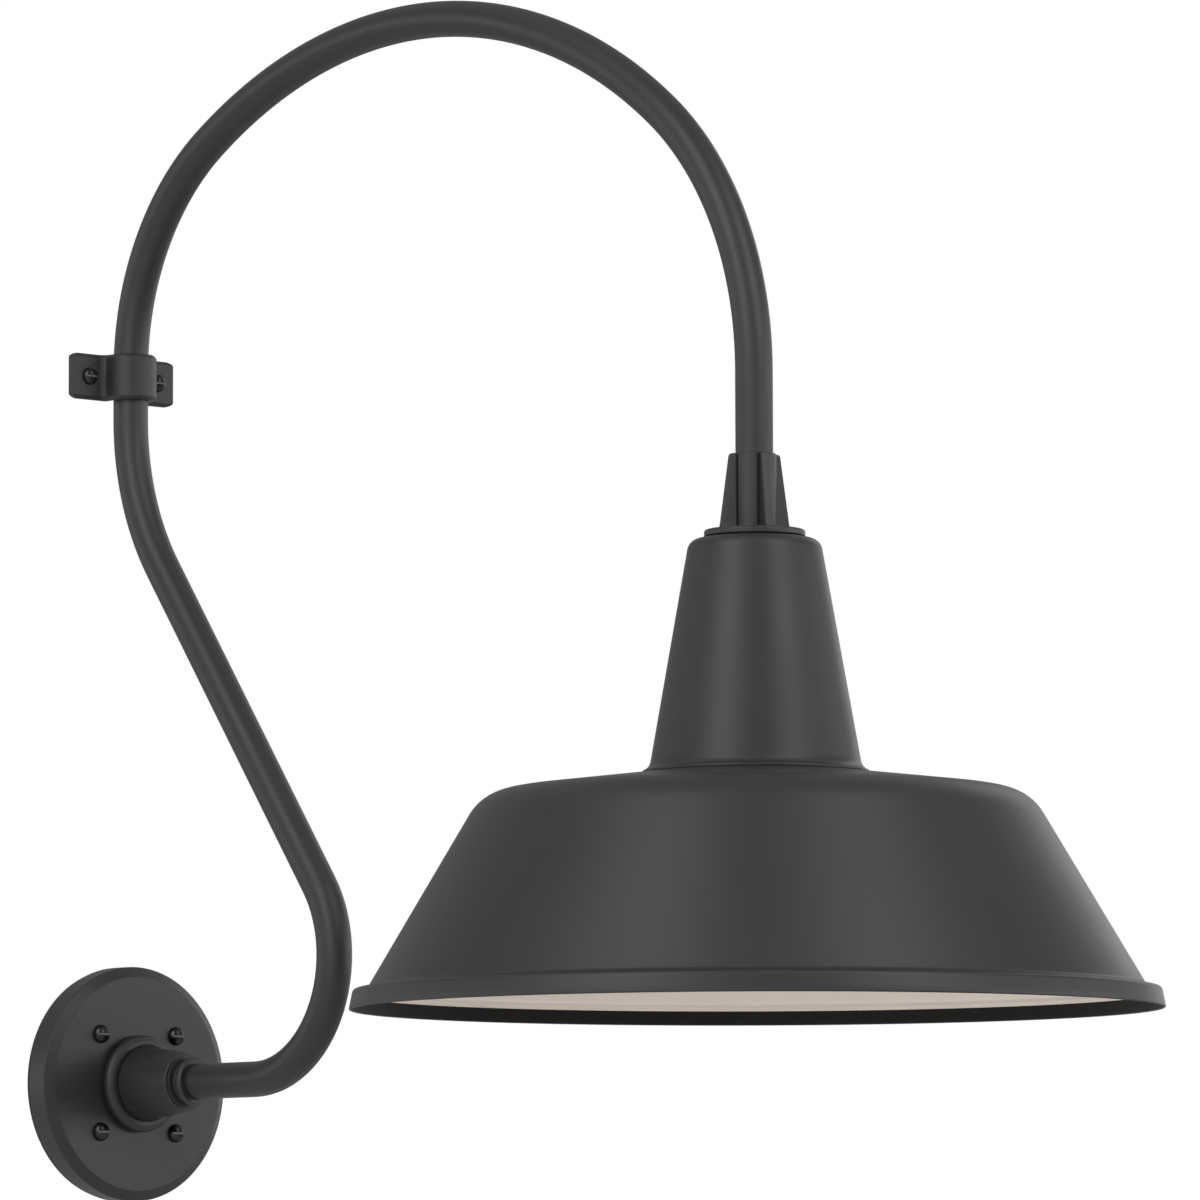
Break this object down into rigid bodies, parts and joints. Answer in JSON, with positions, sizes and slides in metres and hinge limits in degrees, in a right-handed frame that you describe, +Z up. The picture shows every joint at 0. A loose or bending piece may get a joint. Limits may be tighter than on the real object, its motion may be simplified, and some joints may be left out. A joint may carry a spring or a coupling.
{
  "type": "gooseneck barn light",
  "caption": "Gooseneck barn light: a bent tube on a round wall plate and a saddle strap carries a spun dome shade on a finned collar, with a lampholder and a bulb that unscrews.",
  "frame": {"origin": "middle of the four plate screws, on the plane of the wall", "axes": "+X out from the wall, +Y along the wall, +Z up"},
  "size_m": [0.7307, 0.4064, 0.6271],
  "materials": {
    "arm_paint": "satin black powder coat",
    "cast_paint": "satin black powder coat over a casting",
    "shade_paint": "satin black outside, warm white inside",
    "screw_finish": "blackened steel",
    "gasket": "matte black",
    "zinc": "zinc plated",
    "cable_sheath": "matte black",
    "live_core": "black insulation",
    "neutral_core": "white insulation",
    "earth_core": "green insulation",
    "earth_metal": "plain brass",
    "block_plastic": "moulded",
    "holder_metal": "spun brass",
    "porcelain": "glazed white",
    "bulb_metal": "rolled aluminium",
    "bulb_insulation": "black glass",
    "bulb_glass": "clear",
    "filament": "yellow phosphor"
  },
  "bodies": {
    "wall_arm": {"wall_gasket": "gasket", "wall_plate": "arm_paint", "plate_screws": "screw_finish", "hub": "arm_paint", "hub_set_screw": "screw_finish", "hub_ferrule": "arm_paint", "hub_washer": "zinc", "hub_locknut": "zinc", "arm_tube": "arm_paint", "arm_cable": "cable_sheath", "wall_strap": "cast_paint", "strap_screws": "screw_finish", "terminal_block": "block_plastic", "terminal_screws": "zinc", "block_screw": "zinc", "ground_screw": "earth_metal", "ground_lug": "earth_metal", "live_wire": "live_core", "neutral_wire": "neutral_core", "ground_wire": "earth_core"},
    "shade_head": {"finned_collar": "arm_paint", "collar_set_screw": "screw_finish", "neck_gasket": "gasket", "nipple": "zinc", "neck_washer": "zinc", "nipple_locknut": "zinc", "shade_neck": "shade_paint", "shade_dome": "shade_paint", "head_cable": "cable_sheath", "lampholder_cap": "holder_metal", "lampholder_body": "porcelain", "screw_shell": "earth_metal", "centre_contact": "earth_metal", "contact_rivets": "earth_metal", "lamp_leads": "live_core"},
    "bulb_envelope": {"bulb_glass": "bulb_glass"},
    "bulb_base": {"bulb_cap": "bulb_metal", "bulb_insulator": "bulb_insulation", "bulb_tip": "bulb_metal", "bulb_stem": "bulb_glass", "bulb_filaments": "filament"}
  },
  "joints": [
    {"name": "shade_swivel", "type": "hinge", "parent": "wall_arm", "child": "shade_head", "pos_m": [0.49752, 0, 0.30282], "axis": [0, 0, 1], "range_deg": [-170, 170]},
    {"name": "bulb_travel", "type": "slide", "parent": "shade_head", "child": "bulb_envelope", "axis": [0, 0, -1], "range_m": [0, 0.01452]},
    {"name": "bulb_turn", "type": "hinge", "parent": "bulb_envelope", "child": "bulb_base", "pos_m": [0.49752, 0, 0.21002], "axis": [0, 0, -1], "range_deg": [0, 1445]}
  ],
  "couplings": [
    {"joint": "bulb_turn", "follows": "bulb_travel", "rad_per_m": 1730.9}
  ]
}
